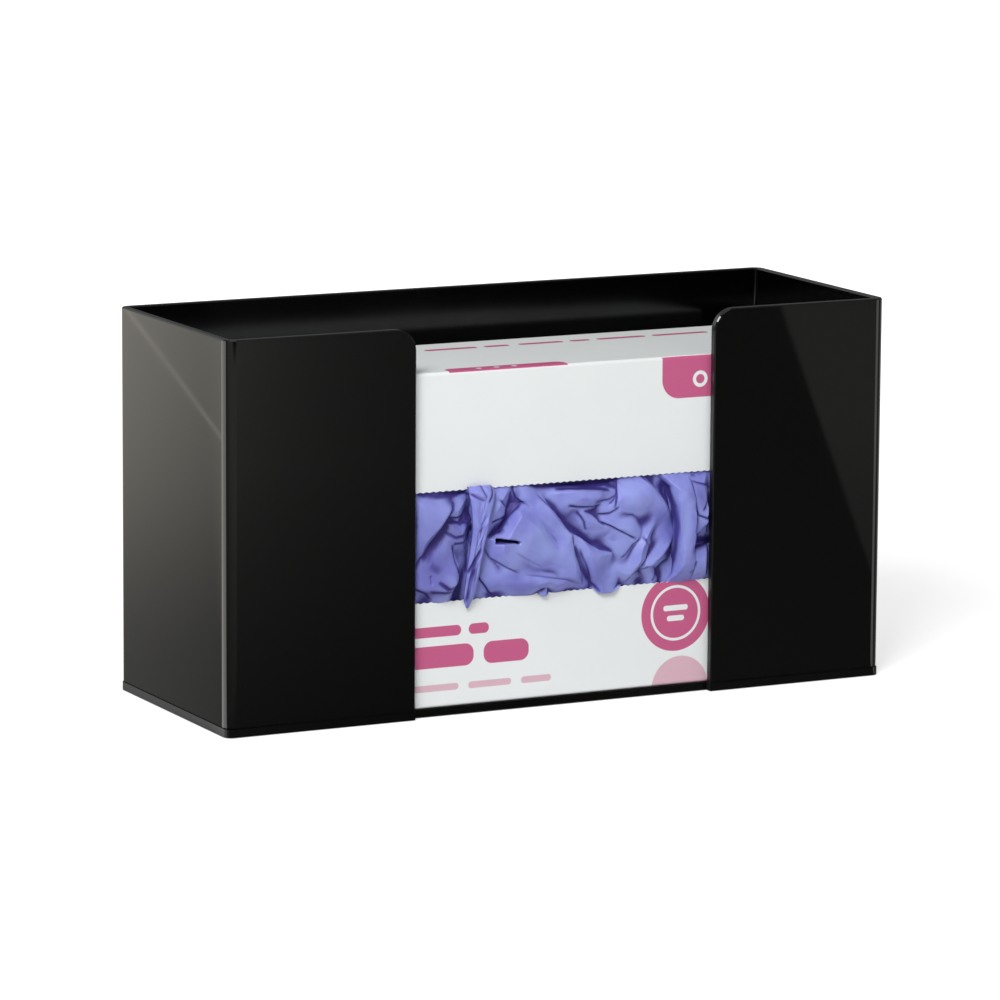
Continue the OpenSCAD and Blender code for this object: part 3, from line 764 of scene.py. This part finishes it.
def settle(p, plan, spare, rounds, hold, stiff):
    # keeps a sheet's threads at their length, so that spare film buckles into folds
    fixed = np.zeros(p.shape[:2], bool)
    fixed[[0, -1]] = True
    fixed[:, [0, -1]] = True
    kept = plan[fixed]
    pitch = np.linalg.norm(np.diff(plan, axis=0), axis=-1).mean()
    reach = max(1, round(folding["evenOver"] / pitch))
    slant = folding["slantPull"]
    threads = []  # neighbour across and up, pull, and how many sets share no point
    for i, j, pull, sets in ((1, 0, 1.0, 2), (0, 1, 1.0, 2), (1, 1, slant, 2), (1, -1, slant, 2),
                             (2, 0, stiff, 4), (0, 2, stiff, 4),
                             (4, 0, stiff / 2, 8), (0, 4, stiff / 2, 8)):
        a, b = pairOf(plan, i, j, 0, 1)
        steps = max(i, abs(j))
        one = evened(np.linalg.norm(b - a, axis=-1) / steps, reach)
        threads.append((i, j, one * steps * spare, pull, sets))
    for turn in range(rounds):
        for i, j, rest, pull, sets in threads:
            for start in range(sets):
                a, b = pairOf(p, i, j, start, sets)
                want = rest[start::sets][:a.shape[0]] if i else rest[:, start::sets][:, :a.shape[1]]
                gap = b - a
                far = np.sqrt((gap * gap).sum(-1)) + 1e-9
                lack = (far - want) / far * (0.5 * pull)
                step = gap * lack[..., None]
                a += step
                b -= step
        p += (plan - p) * (hold * (1 - folding["holdLoss"] * turn / rounds))
        p[fixed] = kept
        withinReach(p, plan)
    return p


def facetted(p, rounds, reach, likeness):
    # thin film lies in flat panels that meet at sharp creases, so panels are evened, not creases
    edge = p.copy()
    a = p[1:, :-1] - p[:-1, :-1] + p[1:, 1:] - p[:-1, 1:]
    b = p[:-1, 1:] - p[:-1, :-1] + p[1:, 1:] - p[1:, :-1]
    n = np.cross(b, a)
    n /= np.linalg.norm(n, axis=-1, keepdims=True) + 1e-12
    around = [(i, j) for i in range(-reach, reach + 1) for j in range(-reach, reach + 1)]
    for turn in range(rounds):
        wide = np.pad(n, ((reach, reach), (reach, reach), (0, 0)), mode="edge")
        total = np.zeros_like(n)
        for i, j in around:
            near = wide[reach + i:reach + i + n.shape[0], reach + j:reach + j + n.shape[1]]
            differ = ((near - n) ** 2).sum(-1, keepdims=True)
            weight = -differ / (2 * likeness ** 2) - (i * i + j * j) / (reach * reach)
            total += near * np.exp(weight)
        n = total / (np.linalg.norm(total, axis=-1, keepdims=True) + 1e-12)
    for turn in range(3 * rounds):
        centre = (p[1:, 1:] + p[1:, :-1] + p[:-1, 1:] + p[:-1, :-1]) / 4
        push = np.zeros_like(p)
        for i, j in ((0, 0), (0, 1), (1, 0), (1, 1)):
            corner = (slice(i, p.shape[0] - 1 + i), slice(j, p.shape[1] - 1 + j))
            push[corner] += n * ((centre - p[corner]) * n).sum(-1, keepdims=True)
        p = p + push / 4
        p[[0, -1]] = edge[[0, -1]]
        p[:, [0, -1]] = edge[:, [0, -1]]
    return p


def sunken(p):
    # how far each point lies behind its neighbours, near and wide, from -1 to 1, the start of the
    # painted shade and light
    y = p[..., 1]
    return np.clip(sum((y - evened(y, reach)) / depth for reach, depth in folding["sunken"]), -1, 1)


def scored(p, spec):
    # a narrow fold of its own runs along each crease, on the low side, and slits are cut deeper;
    # painted shade is laid along each crease, in the listed spots and, darkest, in the slits
    px, pz = p[..., 0].copy(), p[..., 2].copy()
    paintedShading = sunken(p)
    for line, toward, height, _ in spec["folds"]:
        d, share = alongLine(px, pz, line, toward)
        fade = fading(share, folding["scoreEnds"]) ** 0.5
        score = np.exp(-((d + folding["scoreAside"]) / folding["scoreHalf"]) ** 2)
        p[..., 1] += folding["score"] * height * fade * score
        # a line of painted shade along the low side of each crease
        shade = np.exp(-((d + folding["shadeLineAside"]) / folding["shadeLineHalf"]) ** 2)
        paintedShading = np.maximum(paintedShading, fade * min(1, height) * shade)
    # spots of painted shade, and painted light where the amount is below 0
    for cx, cz, rx, rz, amount in spec["paintedShadeSpots"]:
        paintedShading = paintedShading + amount * spot(px, pz, cx, cz, rx, rz)
    slits = np.zeros(p.shape[:2])
    for line, depth, half, shown in spec["grooves"]:
        d, share = alongLine(px, pz, line, (0, 1))
        wide, taper = folding["slitTaper"]
        cut = np.exp(-(d / half / (wide - taper * share)) ** 4) * fading(share, folding["slitEnds"])
        p[..., 1] += depth * cut
        # a painted shadow fills each slit
        slits = np.maximum(slits, cut * shown)
    return p, np.clip(paintedShading, -1, 1) * (1 - slits) + 2 * slits


def lappedOver(p, folds):
    # the proud side of a fold leans over the low side, so the crease is a real undercut
    px, pz = p[..., 0].copy(), p[..., 2].copy()
    for line, toward, height, _ in folds:
        d, along = alongLine(px, pz, line, toward)
        lean = folding["lap"] * min(height, folding["lapMost"])
        lean = lean * fading(along, folding["endShare"])
        lean = lean * np.exp(-np.maximum(d, 0) / folding["lapWidth"])
        lean = lean * pastEdge(d, folding["lapEdge"])
        size = math.hypot(*toward)
        p[..., 0] -= lean * toward[0] / size
        p[..., 2] -= lean * toward[1] / size
    return p


def finer(p, shape):
    # the same film on a finer net
    for axis in (0, 1):
        old, new = np.linspace(0, 1, p.shape[axis]), np.linspace(0, 1, shape[axis])
        at = np.clip(np.searchsorted(old, new, side="right") - 1, 0, len(old) - 2)
        t = (new - old[at]) / (old[at + 1] - old[at])
        p = np.moveaxis(p, axis, 0)
        t = t.reshape(-1, 1, 1)
        p = np.moveaxis(p[at] * (1 - t) + p[at + 1] * t, 0, axis)
    return np.ascontiguousarray(p)


def filmPiece(spec, p, paintedShading):
    name = spec["name"]
    bm = bmesh.new()
    # the painted shade and light go to the film as its attribute hollow
    hollow = bm.verts.layers.float.new("hollow")
    bmesh.ops.create_grid(bm, x_segments=p.shape[0] - 1, y_segments=p.shape[1] - 1, size=0.5)
    ordered = sorted(bm.verts, key=lambda v: (round(v.co.x * 1e6), round(v.co.y * 1e6)))
    for vert, at, depth in zip(ordered, p.reshape(-1, 3) / 1000, paintedShading.ravel()):
        vert.co = at
        vert[hollow] = depth
    for face in bm.faces:
        face.smooth = True
    bmesh.ops.recalc_face_normals(bm, faces=bm.faces)
    if sum(face.normal.y for face in bm.faces) > 0:
        bmesh.ops.reverse_faces(bm, faces=bm.faces)
    piece = intoScene(name, bpy.data.meshes.new(name))
    bm.to_mesh(piece.data)
    bm.free()
    coat(piece, nitrile)
    thick = piece.modifiers.new("film", "SOLIDIFY")
    thick.thickness = film["thickness"]
    thick.offset = -1
    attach(piece, "root")
    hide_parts(spec["standsFor"])


for spec in (gloveLeft, gloveMiddle, gloveRight):
    moved = None
    for spacing, spare, rounds, hold, stiff in folding["nets"]:
        plan = glovePlan(spec, spacing)
        start = plan if moved is None else plan + finer(moved, plan.shape)
        skin = settle(start.copy(), start, spare, rounds, hold, stiff)
        moved = skin - plan
    skin = facetted(skin, *folding["facets"])
    shape = [round(folding["lastNet"] * n) for n in skin.shape[:2]]
    skin, plan = finer(skin, shape), finer(plan, shape)
    skin, paintedShading = scored(skin, spec)
    skin = lappedOver(skin, spec["folds"])
    withinReach(skin, plan)
    filmPiece(spec, skin, paintedShading)

# the cuff that hangs out between two gloves: x, z and y of its middle, and its half width there
cuff = {
    "name": "gloveCuff", "standsFor": "pulled_glove_2", "across": 40, "along": 170,
    "curl": 1.5, "curlPower": 5, "curlFull": 2.5, "droop": 0.6, "droopFrom": (78, 4),
    "sharp": 0.3, "foldFull": 2.2, "offCard": 0.35, "cardFrom": (0.6, 0.4),
    "smoothing": 10, "settling": (1.0, 60, 0.06, 0.3), "facets": (5, 3, 0.3),
    "path": [(-32.2, 78.0, -42.4, 5.2), (-32.2, 81.0, -44.2, 5.2), (-32.3, 82.6, -45.9, 4.6),
             (-32.4, 81.6, -47.6, 5.2), (-32.4, 79.0, -48.8, 5.2), (-32.6, 76.0, -49.3, 4.7),
             (-33.3, 71.0, -49.8, 3.7), (-33.9, 66.0, -49.9, 3.1), (-34.9, 60.0, -49.5, 2.7),
             (-35.7, 55.0, -49.0, 2.5), (-36.2, 49.0, -48.2, 2.4), (-36.6, 44.0, -47.3, 2.2),
             (-36.8, 41.3, -46.3, 1.8), (-37.3, 38.3, -45.4, 0.3)],
    "folds": [
        ([(-33.0, 60.0), (-36.0, 55.0), (-38.2, 50.5)], (1, -1), 0.9, 3),
        ([(-36.2, 54.0), (-37.0, 47.0), (-37.5, 40.0)], (1, 0), 0.7, 2.5),
        ([(-28.9, 83.0), (-29.3, 79.0), (-31.2, 76.4)], (-1, 0), 0.9, 2.5),
        ([(-33.4, 82.6), (-32.6, 80.0), (-31.6, 77.6)], (-1, -0.4), 0.9, 2),
        ([(-37.2, 80.2), (-34.5, 78.6), (-31.8, 77.2)], (0, 1), 0.9, 2),
        ([(-30.9, 71.5), (-33.4, 68.0), (-35.6, 66.4)], (1, 1), 0.5, 3)],
    "grooves": [],
    "paintedShadeSpots": [(-36.3, 52.5, 1.0, 4, 0.5), (-37.5, 43, 0.8, 3, 0.3), (-33, 73, 3, 8, -0.45)],
}


def offCard(p, above):
    # the hanging end lies on the card's face
    low = p[..., 2] < opening["low"] + above
    p[..., 1][low] = np.minimum(p[..., 1][low], opening["face"] - cuff["offCard"])
    return p


def cuffPlan():
    path = np.array(cuff["path"])
    legs = np.linalg.norm(np.diff(path[:, :3], axis=0), axis=1)
    run = np.concatenate([[0], np.cumsum(legs)])
    s = np.linspace(0, run[-1], cuff["along"])
    at = np.stack([np.interp(s, run, path[:, k]) for k in range(4)], -1)
    for again in range(cuff["smoothing"]):
        at[1:-1] = (at[:-2] + 2 * at[1:-1] + at[2:]) / 4
    t = np.linspace(-1, 1, cuff["across"])[:, None]
    cx, cz, cy, half = at.T[:, None, :]
    x = cx + half * t
    droopLow, droopOver = cuff["droopFrom"]
    z = cz - cuff["droop"] * np.abs(t) ** 2 * ramp(cz - droopLow, droopOver)
    curl = np.minimum(1, half / cuff["curlFull"]) * cuff["curl"]
    y = cy + curl * np.abs(t) ** cuff["curlPower"]
    for fold in cuff["folds"]:
        y = y - crease(x, z, fold, cuff["sharp"]) * ramp(half, cuff["foldFull"])
    return offCard(np.stack([x, y, z], -1), cuff["cardFrom"][0])


plan = cuffPlan()
hanging = settle(plan.copy(), plan, *cuff["settling"])
hanging, paintedShading = scored(facetted(hanging, *cuff["facets"]), cuff)
filmPiece(cuff, offCard(hanging, cuff["cardFrom"][1]), paintedShading)
